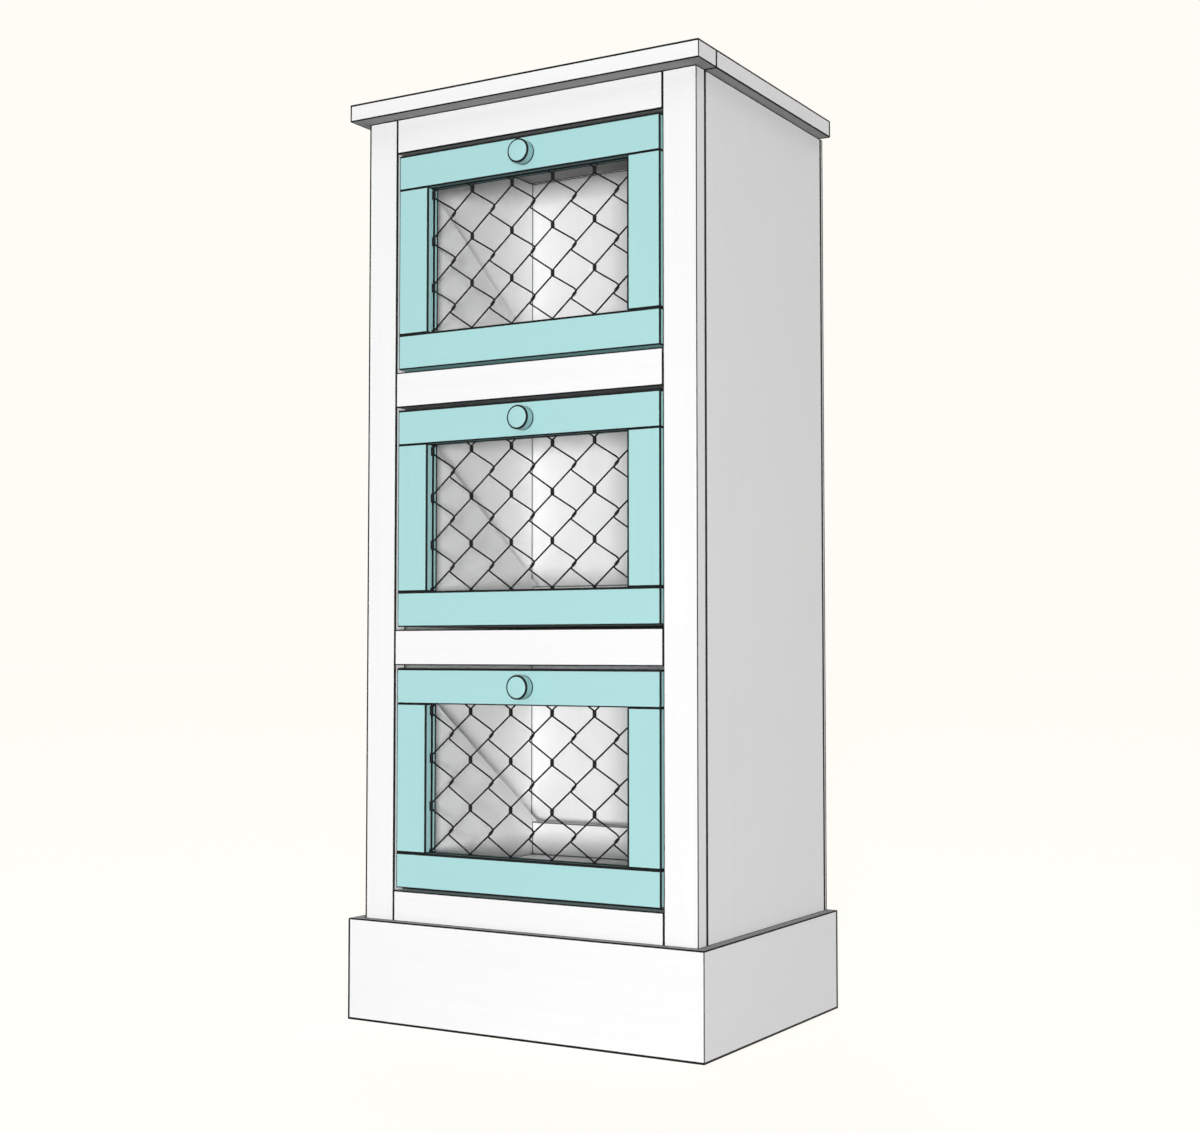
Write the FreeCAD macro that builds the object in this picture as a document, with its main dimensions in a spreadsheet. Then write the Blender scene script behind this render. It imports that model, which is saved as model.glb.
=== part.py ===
import FreeCAD, Part
import Sketcher
import math
import os

# Tilt-out vegetable bin cabinet: a narrow board case with a face frame, a top and a base
# moulding, and three bins that tilt out on pins at the foot of their wire-mesh doors.
# +X is to the right of someone facing the cabinet, +Y goes back into it and +Z is up.
# The origin is on the floor, under the middle of the whole cabinet. Millimetres.

SIZES = (
    # the case and its face frame
    ("case_width", 406.4),
    ("board_thickness", 19.05),
    ("side_depth", 285.75),
    ("back_thickness", 6.35),
    ("toe_height", 101.6),
    ("opening_height", 241.3),
    ("face_width", 38.1),
    ("eased_edge", 0.6),
    # the top, in two boards
    ("top_thickness", 19.05),
    ("top_side_overhang", 12.7),
    ("top_front_overhang", 19.05),
    # the base moulding, which laps over the lowest rail
    ("base_thickness", 12.7),
    ("base_lap", 6.35),
    # the doors
    ("door_gap", 3.175),
    ("door_thickness", 19.05),
    ("door_frame_width", 38.1),
    ("rabbet_width", 11.1),
    ("cut_past", 1.0),
    # the bins behind the doors
    ("bin_board", 12.7),
    ("bin_inset", 3.175),
    ("bin_depth", 239.0),
    ("bin_top_margin", 16.5),
    ("tilt_angle", 35.0),
    # the chain-link mesh
    ("wire_diameter", 1.8),
    ("mesh_pitch", 25.4),
    ("knot_across", 29.6),
    ("knot_up", 36.8),
    ("bend_overlap", 1.0),
    ("bend_rise", 0.6),
    ("layer_offset", 0.95),
    # the knobs and their screws
    ("knob_diameter", 25.4),
    ("knob_length", 12.7),
    ("screw_diameter", 4.2),
    ("screw_head_diameter", 8.6),
    ("screw_head_height", 2.4),
    ("screw_in_knob", 8.0),
    ("screw_clearance", 0.2),
    # the pivot pins, stop pegs and rest pads
    ("pin_diameter", 4.76),
    ("pin_in_stile", 12.7),
    ("pin_in_door", 9.525),
    ("pin_end_play", 1.0),
    ("pin_height", 6.35),
    ("pin_setback", 6.35),
    ("running_clearance", 0.05),
    ("peg_diameter", 9.525),
    ("peg_in_side", 8.0),
    ("peg_reach", 19.05),
    ("peg_rise", 150.0),
    ("stop_clearance", 0.3),
    ("pad_side", 12.0),
    ("pad_clearance", 0.3),
)

BINS = ("bottom", "middle", "top")
# The wire's section is a square set on its corner, as wide as the wire seen from the front.
WIRE_SIDES = 4

doc = FreeCAD.newDocument("vegetable_bin_cabinet")
sheet = doc.addObject("Spreadsheet::Sheet", "Sizes")
for row, (alias, number) in enumerate(SIZES, start=1):
    sheet.set(f"A{row}", alias)
    sheet.set(f"B{row}", str(number))
    sheet.setAlias(f"B{row}", alias)
doc.recompute()

# Places that several pieces share, as formulas on the sheet.
CASE_DEPTH = "(Sizes.board_thickness + Sizes.side_depth + Sizes.back_thickness)"
FRONT = f"((Sizes.top_front_overhang - {CASE_DEPTH}) / 2)"
BEHIND_FACE = f"({FRONT} + Sizes.board_thickness)"
LEFT = "(-Sizes.case_width / 2)"
OPENING_WIDTH = "(Sizes.case_width - 2 * Sizes.face_width)"
OPENING_PITCH = "(Sizes.opening_height + Sizes.face_width)"
CASE_HEIGHT = f"(Sizes.toe_height + Sizes.face_width + 3 * {OPENING_PITCH})"
INNER_WIDTH = "(Sizes.case_width - 2 * Sizes.board_thickness)"
BASE_HEIGHT = "(Sizes.toe_height + Sizes.base_lap)"
DOOR_WIDTH = f"({OPENING_WIDTH} - 2 * Sizes.door_gap)"
DOOR_HEIGHT = "(Sizes.opening_height - 2 * Sizes.door_gap)"
DOOR_LEFT = f"(-{DOOR_WIDTH} / 2)"
DOOR_BACK = f"({FRONT} + Sizes.door_thickness)"
WINDOW_HEIGHT = f"({DOOR_HEIGHT} - 2 * Sizes.door_frame_width)"
MESH_SLOT = "(2 * Sizes.layer_offset + Sizes.wire_diameter)"
LIP = f"((Sizes.door_thickness - {MESH_SLOT}) / 2)"
RABBET_INSET = "(Sizes.door_frame_width - Sizes.rabbet_width)"
BIN_WIDTH = f"({DOOR_WIDTH} - 2 * Sizes.bin_inset)"
BIN_INNER_WIDTH = f"({BIN_WIDTH} - 2 * Sizes.bin_board)"
BIN_SIDE_HEIGHT = f"({DOOR_HEIGHT} - Sizes.bin_top_margin)"
BIN_BACK_HEIGHT = f"({BIN_SIDE_HEIGHT} - Sizes.bin_depth * tan(Sizes.tilt_angle))"


def door_low(level):
    """Height of a door's bottom edge, counted from the lowest door."""
    return f"(Sizes.toe_height + Sizes.face_width + Sizes.door_gap + {level} * {OPENING_PITCH})"


def bind(item, **formulas):
    for name, formula in formulas.items():
        item.setExpression(name, formula)


def place(item, corner):
    for axis, formula in zip("xyz", corner):
        item.setExpression(f"Placement.Base.{axis}", formula)


def new_body(name):
    body = doc.addObject("PartDesign::Body", name)
    body.Label = name
    return body


def new_sketch(body, name, role):
    """An empty sketch on one of the body's own origin planes."""
    sketch = body.newObject("Sketcher::SketchObject", name)
    plane = next(item for item in body.Origin.OriginFeatures if item.Role == role)
    sketch.AttachmentSupport = [(plane, "")]
    sketch.MapMode = "FlatFace"
    return sketch


def fix_point(sketch, line, point):
    """Holds a line's start at a pair of formulas, with "0" for a place on an axis."""
    for kind, axis, formula in (("DistanceX", -2, point[0]), ("DistanceY", -1, point[1])):
        if formula == "0":
            sketch.addConstraint(Sketcher.Constraint("PointOnObject", line, 1, axis))
            continue
        index = sketch.addConstraint(Sketcher.Constraint(kind, -1, 1, line, 1, 10.0))
        label = f"{kind}_{line}"
        sketch.renameConstraint(index, label)
        sketch.setExpression(f"Constraints.{label}", formula)


def outline(sketch, points):
    """A closed outline of straight lines through points given as formulas.

    It is drawn round a ring first, well off both axes, so that the constraints pull it to shape."""
    count = len(points)
    turns = [2 * math.pi * index / count for index in range(count)]
    start = [FreeCAD.Vector(20 - 10 * math.cos(turn), 20 - 10 * math.sin(turn), 0) for turn in turns]
    for index in range(count):
        sketch.addGeometry(Part.LineSegment(start[index], start[(index + 1) % count]))
    for index in range(count):
        sketch.addConstraint(Sketcher.Constraint("Coincident", index, 2, (index + 1) % count, 1))
    for index, point in enumerate(points):
        fix_point(sketch, index, point)


def rectangle(sketch, left, low, right, high):
    outline(sketch, ((left, low), (right, low), (right, high), (left, high)))


def circle(sketch, across, up, diameter):
    axis = FreeCAD.Vector(0, 0, 1)
    line = sketch.addGeometry(Part.Circle(FreeCAD.Vector(20, 20, 0), axis, 3))
    for kind, formula in (("DistanceX", across), ("DistanceY", up)):
        index = sketch.addConstraint(Sketcher.Constraint(kind, -1, 1, line, 3, 20.0))
        sketch.renameConstraint(index, kind)
        sketch.setExpression(f"Constraints.{kind}", formula)
    index = sketch.addConstraint(Sketcher.Constraint("Diameter", line, 6.0))
    sketch.renameConstraint(index, "bore")
    sketch.setExpression("Constraints.bore", diameter)


def pad(body, sketch, length):
    feature = body.newObject("PartDesign::Pad", "Pad")
    feature.Profile = sketch
    bind(feature, Length=length)
    return feature


def pocket(body, sketch, length, forward=True):
    """A cut along the sketch's normal, or against it where forward is False."""
    feature = body.newObject("PartDesign::Pocket", "Pocket")
    feature.Profile = sketch
    feature.Reversed = forward
    bind(feature, Length=length)


def ease(body, base, edges=()):
    """Eases the named edges of a sawn board, or all of them where none is named."""
    feature = body.newObject("PartDesign::Chamfer", "EasedEdges")
    feature.Base = (base, list(edges))
    feature.UseAllEdges = not edges
    bind(feature, Size="Sizes.eased_edge")


def board(name, size, corner, eased=True):
    """A sawn board: its size along X, Y and Z, and its low corner.

    A board that other boards close in keeps its square edges."""
    body = new_body(name)
    section = new_sketch(body, "Section", "XY_Plane")
    rectangle(section, "0", "0", size[0], size[1])
    sawn = pad(body, section, size[2])
    if eased:
        ease(body, sawn)
    place(body, corner)
    return body


def moulding(name, points, corner, outward):
    """A base moulding with mitred ends, whose outer top edge is eased."""
    body = new_body(name)
    section = new_sketch(body, "Section", "XY_Plane")
    outline(section, points)
    upright = pad(body, section, BASE_HEIGHT)
    place(body, corner)
    doc.recompute()
    bounds = upright.Shape.BoundBox
    half = FreeCAD.Vector(outward[0] * bounds.XLength, outward[1] * bounds.YLength, bounds.ZLength) * 0.5
    outer_top = bounds.Center + half
    edges = upright.Shape.Edges
    nearest = min(range(len(edges)), key=lambda index: edges[index].CenterOfMass.distanceToPoint(outer_top))
    ease(body, upright, [f"Edge{nearest + 1}"])


def side_outline(name, points, thickness, corner):
    """A board sawn to an outline seen from the side."""
    body = new_body(name)
    section = new_sketch(body, "Section", "YZ_Plane")
    outline(section, points)
    ease(body, pad(body, section, thickness))
    place(body, corner)
    return body


def bore_along_x(body, mouth, depth, where, diameter, forward):
    """A blind bore along X: where its mouth is along X, how deep it goes, and its centre in Y and Z."""
    sketch = new_sketch(body, "Bore", "YZ_Plane")
    sketch.setExpression("AttachmentOffset.Base.z", mouth)
    circle(sketch, where[0], where[1], diameter)
    pocket(body, sketch, depth, forward)


def make_case():
    """The side panels, a shelf under each bin, and the back."""
    for side, left in (("left", LEFT), ("right", "(Sizes.case_width / 2 - Sizes.board_thickness)")):
        size = ("Sizes.board_thickness", "Sizes.side_depth", CASE_HEIGHT)
        board(f"side_panel_{side}", size, (left, BEHIND_FACE, "0"))
    for level, name in enumerate(BINS):
        top = f"(Sizes.toe_height + Sizes.face_width + {level} * {OPENING_PITCH})"
        size = (INNER_WIDTH, "Sizes.side_depth", "Sizes.board_thickness")
        corner = (f"-{INNER_WIDTH} / 2", BEHIND_FACE, f"{top} - Sizes.board_thickness")
        board(f"shelf_{name}", size, corner, eased=False)
    size = ("Sizes.case_width", "Sizes.back_thickness", CASE_HEIGHT)
    board("back_panel", size, (LEFT, f"{BEHIND_FACE} + Sizes.side_depth", "0"), eased=False)


def make_face_frame():
    """Two stiles, each bored for the pivot pins, and four rails between them."""
    right = "(Sizes.case_width / 2 - Sizes.face_width)"
    for side, left, mouth, forward in (
        ("left", LEFT, "Sizes.face_width", False),
        ("right", right, "0", True),
    ):
        size = ("Sizes.face_width", "Sizes.board_thickness", CASE_HEIGHT)
        stile = board(f"face_stile_{side}", size, (left, FRONT, "0"))
        for level in range(len(BINS)):
            where = ("Sizes.pin_setback", f"{door_low(level)} + Sizes.pin_height")
            bore_along_x(stile, mouth, "Sizes.pin_in_stile", where, "Sizes.pin_diameter", forward)
    for level, name in enumerate(("bottom", "lower", "upper", "top")):
        size = (OPENING_WIDTH, "Sizes.board_thickness", "Sizes.face_width")
        low = f"Sizes.toe_height + {level} * {OPENING_PITCH}"
        board(f"face_rail_{name}", size, (f"-{OPENING_WIDTH} / 2", FRONT, low))


def make_base():
    """Mitred mouldings round the front and sides of the foot."""
    half = "(Sizes.case_width / 2 + Sizes.base_thickness)"
    inner = "(Sizes.case_width + Sizes.base_thickness)"
    outer = "(Sizes.case_width + 2 * Sizes.base_thickness)"
    front = f"{FRONT} - Sizes.base_thickness"
    mitred_front = (
        ("0", "0"),
        (outer, "0"),
        (inner, "Sizes.base_thickness"),
        ("Sizes.base_thickness", "Sizes.base_thickness"),
    )
    moulding("base_front", mitred_front, (f"-{half}", front, "0"), (0, -1))
    length = f"({CASE_DEPTH} + Sizes.base_thickness)"
    mitred_left = (
        ("0", "0"),
        ("Sizes.base_thickness", "Sizes.base_thickness"),
        ("Sizes.base_thickness", length),
        ("0", length),
    )
    moulding("base_left", mitred_left, (f"-{half}", front, "0"), (-1, 0))
    mitred_right = (
        ("Sizes.base_thickness", "0"),
        ("Sizes.base_thickness", length),
        ("0", length),
        ("0", "Sizes.base_thickness"),
    )
    moulding("base_right", mitred_right, ("Sizes.case_width / 2", front, "0"), (1, 0))


def make_top():
    """The top: a narrow strip over the face frame, and a wide board behind it."""
    width = "(Sizes.case_width + 2 * Sizes.top_side_overhang)"
    strip_depth = "(Sizes.top_front_overhang + Sizes.board_thickness)"
    strip = (width, strip_depth, "Sizes.top_thickness")
    board("top_front_strip", strip, (f"-{width} / 2", f"{FRONT} - Sizes.top_front_overhang", CASE_HEIGHT))
    wide = (width, "Sizes.side_depth", "Sizes.top_thickness")
    board("top_board", wide, (f"-{width} / 2", BEHIND_FACE, CASE_HEIGHT))


def door_rail(name, corner):
    """A door rail with a stopped rabbet along its lower back edge for the mesh."""
    size = (DOOR_WIDTH, "Sizes.door_thickness", "Sizes.door_frame_width")
    body = board(name, size, corner)
    stopped = new_sketch(body, "Rabbet", "XY_Plane")
    far = f"{DOOR_WIDTH} - {RABBET_INSET}"
    rectangle(stopped, RABBET_INSET, LIP, far, "Sizes.door_thickness + Sizes.cut_past")
    pocket(body, stopped, "Sizes.rabbet_width")
    return body


def door_stile(name, left, low, inner_left, inner_right):
    """A door stile whose rabbet runs the whole length."""
    size = ("Sizes.door_frame_width", "Sizes.door_thickness", WINDOW_HEIGHT)
    body = board(name, size, (left, FRONT, low))
    groove = new_sketch(body, "Rabbet", "XY_Plane")
    rectangle(groove, inner_left, LIP, inner_right, "Sizes.door_thickness + Sizes.cut_past")
    pocket(body, groove, WINDOW_HEIGHT)


def make_door(name, low):
    """Two rails and two stiles; the bottom rail is the top rail's shape turned upside down."""
    top_rail = door_rail(
        f"door_top_rail_{name}",
        (DOOR_LEFT, FRONT, f"{low} + {DOOR_HEIGHT} - Sizes.door_frame_width"),
    )
    knob_bore = new_sketch(top_rail, "KnobBore", "XZ_Plane")
    clearance = "Sizes.screw_diameter + 2 * Sizes.screw_clearance"
    circle(knob_bore, f"{DOOR_WIDTH} / 2", "Sizes.door_frame_width / 2", clearance)
    pocket(top_rail, knob_bore, "Sizes.door_thickness", False)

    corner = (f"-{DOOR_LEFT}", FRONT, f"{low} + Sizes.door_frame_width")
    bottom_rail = door_rail(f"door_bottom_rail_{name}", corner)
    bottom_rail.Placement.Rotation = FreeCAD.Rotation(FreeCAD.Vector(0, 1, 0), 180)
    where = ("Sizes.pin_setback", "Sizes.door_frame_width - Sizes.pin_height")
    bore = "Sizes.pin_diameter + 2 * Sizes.running_clearance"
    depth = "Sizes.pin_in_door + Sizes.pin_end_play"
    bore_along_x(bottom_rail, "0", depth, where, bore, True)
    bore_along_x(bottom_rail, DOOR_WIDTH, depth, where, bore, False)

    stile_low = f"{low} + Sizes.door_frame_width"
    past = "Sizes.door_frame_width + Sizes.cut_past"
    door_stile(f"door_stile_left_{name}", DOOR_LEFT, stile_low, RABBET_INSET, past)
    right = f"-{DOOR_LEFT} - Sizes.door_frame_width"
    door_stile(f"door_stile_right_{name}", right, stile_low, "-Sizes.cut_past", "Sizes.rabbet_width")


def box(name, size, corner):
    item = doc.addObject("Part::Box", name)
    bind(item, Length=size[0], Width=size[1], Height=size[2])
    place(item, corner)
    return item


def rod(name, diameter, length, centre, axis):
    """A round rod that starts at its centre point and runs along the axis."""
    item = doc.addObject("Part::Cylinder", name)
    item.Placement.Rotation = FreeCAD.Rotation(FreeCAD.Vector(0, 0, 1), axis)
    bind(item, Radius=f"{diameter} / 2", Height=length)
    place(item, centre)
    return item


def group(name, pieces):
    """Like pieces kept as one node of separate solids."""
    item = doc.addObject("Part::Compound", name)
    item.Label = name
    item.Links = pieces


def make_retainers(name, low):
    """Four strips that close the rabbet and press the mesh against the door's lip."""
    back = f"({FRONT} + {LIP} + {MESH_SLOT})"
    width = f"({DOOR_WIDTH} - 2 * {RABBET_INSET})"
    left = f"(-{width} / 2)"
    sill = f"({low} + {RABBET_INSET})"
    head = f"({low} + {DOOR_HEIGHT} - Sizes.door_frame_width)"
    across = (width, LIP, "Sizes.rabbet_width")
    down = ("Sizes.rabbet_width", LIP, WINDOW_HEIGHT)
    middle = f"{low} + Sizes.door_frame_width"
    pieces = (
        box(f"RetainerLow_{name}", across, (left, back, sill)),
        box(f"RetainerHigh_{name}", across, (left, back, head)),
        box(f"RetainerLeft_{name}", down, (left, back, middle)),
        box(f"RetainerRight_{name}", down, (f"-{left} - Sizes.rabbet_width", back, middle)),
    )
    group(f"mesh_retainers_{name}", pieces)


def measure(formula):
    """The value of a formula on the sheet, for the mesh's own geometry."""
    probe = doc.getObject("Probe") or doc.addObject("App::FeaturePython", "Probe")
    if "Reading" not in probe.PropertiesList:
        probe.addProperty("App::PropertyFloat", "Reading")
    probe.setExpression("Reading", formula)
    probe.recompute()
    return probe.Reading


def wire_solid(points, radius):
    """A wire along straight runs, mitred where they meet."""
    runs = [(after - before).normalize() for before, after in zip(points, points[1:])]
    side = runs[0].cross(FreeCAD.Vector(0, 1, 0)).normalize()
    other = runs[0].cross(side)
    turns = [2 * math.pi * index / WIRE_SIDES for index in range(WIRE_SIDES)]
    ring = [points[0] + (side * math.sin(turn) + other * math.cos(turn)) * radius for turn in turns]
    rings = [ring]
    for run, ahead, joint in zip(runs, runs[1:] + runs[-1:], points[1:]):
        mitre = (run + ahead).normalize()
        slope = run.dot(mitre)
        ring = [spot + run * ((joint - spot).dot(mitre) / slope) for spot in ring]
        rings.append(ring)
    faces = [Part.Face(Part.makePolygon(end + end[:1])) for end in (rings[0], rings[-1])]
    for low_ring, high_ring in zip(rings, rings[1:]):
        for index in range(WIRE_SIDES):
            following = (index + 1) % WIRE_SIDES
            corners = (low_ring[index], low_ring[following], high_ring[following], high_ring[index])
            faces.append(Part.Face(Part.makePolygon(corners + corners[:1])))
    skin = Part.makeCompound(faces)
    skin.sewShape()
    solid = Part.Solid(skin.Shells[0])
    if solid.Volume < 0:
        solid.reverse()
    return solid


def bend(column, level):
    """Both ends of a wire's turn at one knot, from the run below it to the run above it."""
    pitch = sheet.mesh_pitch
    on_left = (column + level) % 2 == 0
    station = column if on_left else column + 1
    overlap = -sheet.bend_overlap if on_left else sheet.bend_overlap
    across = sheet.knot_across + station * pitch + overlap
    up = sheet.knot_up + level * pitch
    depth = sheet.layer_offset if on_left else -sheet.layer_offset
    first = FreeCAD.Vector(across, depth, up - sheet.bend_rise)
    second = FreeCAD.Vector(across, -depth, up + sheet.bend_rise)
    return first, second


def reach(start, target, panel):
    """The furthest point from start towards target that stays inside the panel."""
    half_width, sill, head = panel
    step = target - start
    share = 1.0
    for offset, begin, low, high in (
        (step.x, start.x, -half_width, half_width),
        (step.z, start.z, sill, head),
    ):
        limit = high if offset > 0 else low
        share = min(share, (limit - begin) / offset)
    return start + step * share


def mesh_wires(panel):
    """The zigzag wires of the panel, each hooked into the turns of its neighbours.

    A wire that the panel's edge cuts through is left as a short hook at each turn inside."""
    half_width, sill, head = panel
    pitch = sheet.mesh_pitch
    radius = sheet.wire_diameter / 2
    first = math.floor((-half_width - sheet.knot_across) / pitch) - 1
    last = math.ceil((half_width - sheet.knot_across) / pitch)
    lowest = math.ceil((sill - sheet.knot_up) / pitch)
    highest = math.floor((head - sheet.knot_up) / pitch)
    wires = []
    for column in range(first, last + 1):
        held = []
        for level in range(lowest, highest + 1):
            if abs(bend(column, level)[0].x) < half_width - sheet.wire_diameter:
                held.append(level)
            elif held:
                wires.append(hooked_wire(column, held, panel))
                held = []
        if held:
            wires.append(hooked_wire(column, held, panel))
    return [wire_solid(points, radius) for points in wires]


def hooked_wire(column, levels, panel):
    """Points of one wire through its turns at the given levels, cut off at the panel's edge."""
    below = bend(column, levels[0] - 1)[1]
    above = bend(column, levels[-1] + 1)[0]
    turns = [point for level in levels for point in bend(column, level)]
    return [reach(turns[0], below, panel)] + turns + [reach(turns[-1], above, panel)]


def make_mesh(name, low):
    """The panel of chain-link mesh in a door's rabbet, one solid for each wire."""
    margin = sheet.wire_diameter / 2
    half_width = measure(f"{DOOR_WIDTH} / 2 - {RABBET_INSET}") - margin
    sill = measure(RABBET_INSET) + margin
    head = measure(f"{DOOR_HEIGHT} - {RABBET_INSET}") - margin
    item = doc.addObject("Part::Feature", f"wire_mesh_{name}")
    item.Label = f"wire_mesh_{name}"
    item.Shape = Part.makeCompound(mesh_wires((half_width, sill, head)))
    place(item, ("0", f"{FRONT} + Sizes.door_thickness / 2", low))


def turned(name, points, corner):
    """A turned piece: a half outline revolved about the Y axis."""
    body = new_body(name)
    half = new_sketch(body, "HalfProfile", "XY_Plane")
    outline(half, points)
    turn = body.newObject("PartDesign::Revolution", "Turning")
    turn.Profile = half
    turn.ReferenceAxis = (half, ["V_Axis"])
    turn.Angle = 360
    place(body, corner)


def make_knob(name, low):
    """A plain cylindrical knob, and the screw that holds it through the door's top rail."""
    centre_height = f"{low} + {DOOR_HEIGHT} - Sizes.door_frame_width / 2"
    bore = "Sizes.screw_diameter / 2"
    rim = "Sizes.knob_diameter / 2"
    knob_profile = (
        (bore, "Sizes.knob_length"),
        (bore, "Sizes.knob_length - Sizes.screw_in_knob"),
        ("0", "Sizes.knob_length - Sizes.screw_in_knob"),
        ("0", "0"),
        (rim, "0"),
        (rim, "Sizes.knob_length"),
    )
    turned(f"knob_{name}", knob_profile, ("0", f"{FRONT} - Sizes.knob_length", centre_height))
    shank = "Sizes.screw_in_knob + Sizes.door_thickness"
    head = "Sizes.screw_head_diameter / 2"
    screw_profile = (
        ("0", "0"),
        (bore, "0"),
        (bore, shank),
        (head, shank),
        (head, f"{shank} + Sizes.screw_head_height"),
        ("0", f"{shank} + Sizes.screw_head_height"),
    )
    turned(f"knob_screw_{name}", screw_profile, ("0", f"{FRONT} - Sizes.screw_in_knob", centre_height))


def peg_place(level):
    """Where the stop pegs stand at rest. At full tilt they are behind the stiles, above the pins."""
    behind = "(Sizes.board_thickness - Sizes.pin_setback + Sizes.peg_diameter / 2 + Sizes.stop_clearance)"
    back = f"({behind} * cos(Sizes.tilt_angle) + Sizes.peg_rise * sin(Sizes.tilt_angle))"
    up = f"(Sizes.peg_rise * cos(Sizes.tilt_angle) - {behind} * sin(Sizes.tilt_angle))"
    return f"({FRONT} + Sizes.pin_setback + {back})", f"({door_low(level)} + Sizes.pin_height + {up})"


def make_bin(name, level):
    """The box behind a door: two sloping sides, a floor, a low back and two stop pegs."""
    low = door_low(level)
    profile = (
        ("0", "0"),
        ("Sizes.bin_depth", "0"),
        ("Sizes.bin_depth", BIN_BACK_HEIGHT),
        ("0", BIN_SIDE_HEIGHT),
    )
    peg_back, peg_up = peg_place(level)
    right = f"({BIN_WIDTH} / 2 - Sizes.bin_board)"
    for side, left, mouth, forward in (
        ("left", f"(-{BIN_WIDTH} / 2)", "0", True),
        ("right", right, "Sizes.bin_board", False),
    ):
        cheek = side_outline(f"bin_side_{side}_{name}", profile, "Sizes.bin_board", (left, DOOR_BACK, low))
        where = (f"{peg_back} - {DOOR_BACK}", f"{peg_up} - {low}")
        bore_along_x(cheek, mouth, "Sizes.peg_in_side", where, "Sizes.peg_diameter", forward)
    inner_left = f"-{BIN_INNER_WIDTH} / 2"
    floor = (BIN_INNER_WIDTH, "Sizes.bin_depth", "Sizes.bin_board")
    board(f"bin_floor_{name}", floor, (inner_left, DOOR_BACK, low), eased=False)
    back_size = (BIN_INNER_WIDTH, "Sizes.bin_board", f"{BIN_BACK_HEIGHT} - Sizes.bin_board")
    back_front = f"{DOOR_BACK} + Sizes.bin_depth - Sizes.bin_board"
    board(f"bin_back_{name}", back_size, (inner_left, back_front, f"{low} + Sizes.bin_board"), eased=False)
    length = "Sizes.peg_in_side + Sizes.peg_reach"
    left_end = f"-{BIN_WIDTH} / 2 - Sizes.peg_reach"
    right_end = f"{BIN_WIDTH} / 2 - Sizes.peg_in_side"
    axis = FreeCAD.Vector(1, 0, 0)
    pegs = [
        rod(f"Peg{side}_{name}", "Sizes.peg_diameter", length, (end, peg_back, peg_up), axis)
        for side, end in (("Left", left_end), ("Right", right_end))
    ]
    group(f"stop_pegs_{name}", pegs)


def make_pins():
    """Steel pins fixed in the stiles, on which the doors' bottom rails turn."""
    length = "Sizes.pin_in_stile + Sizes.door_gap + Sizes.pin_in_door"
    left_end = f"-{OPENING_WIDTH} / 2 - Sizes.pin_in_stile"
    right_end = f"{DOOR_WIDTH} / 2 - Sizes.pin_in_door"
    axis = FreeCAD.Vector(1, 0, 0)
    pins = []
    for level, name in enumerate(BINS):
        height = f"{door_low(level)} + Sizes.pin_height"
        for side, end in (("Left", left_end), ("Right", right_end)):
            centre = (end, f"{FRONT} + Sizes.pin_setback", height)
            pins.append(rod(f"Pin{side}_{name}", "Sizes.pin_diameter", length, centre, axis))
    group("pivot_pins", pins)


def make_rest_pads():
    """Square felt pads on the shelves, on which the back corners of the closed bins rest."""
    size = ("Sizes.pad_side", "Sizes.pad_side", "Sizes.door_gap - Sizes.pad_clearance")
    back = f"{DOOR_BACK} + Sizes.bin_depth - Sizes.pad_side"
    pads = []
    for level, name in enumerate(BINS):
        shelf = f"({door_low(level)} - Sizes.door_gap)"
        for side, left in (("Left", f"-{BIN_WIDTH} / 2"), ("Right", f"{BIN_WIDTH} / 2 - Sizes.pad_side")):
            pads.append(box(f"Pad{side}_{name}", size, (left, back, shelf)))
    group("rest_pads", pads)


make_case()
make_face_frame()
make_base()
make_top()
make_pins()
make_rest_pads()
for level, name in enumerate(BINS):
    make_door(name, door_low(level))
    make_retainers(name, door_low(level))
    make_mesh(name, door_low(level))
    make_knob(name, door_low(level))
    make_bin(name, level)
doc.recompute()

KINDS = ("PartDesign::Body", "Part::Compound", "Part::Feature")
nodes = [item for item in doc.Objects if item.TypeId in KINDS]
for item in doc.Objects:
    if "Invalid" in item.State or "Error" in item.State:
        raise RuntimeError(f"{item.Name} did not build: {item.State}")
for item in nodes:
    if item.Shape.isNull() or not item.Shape.isValid():
        raise RuntimeError(f"{item.Label} has no valid shape")

os.makedirs("parts", exist_ok=True)
for item in nodes:
    item.Shape.exportStep(f"parts/{item.Label}.step")
print(len(nodes), "sub-parts written")
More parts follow.
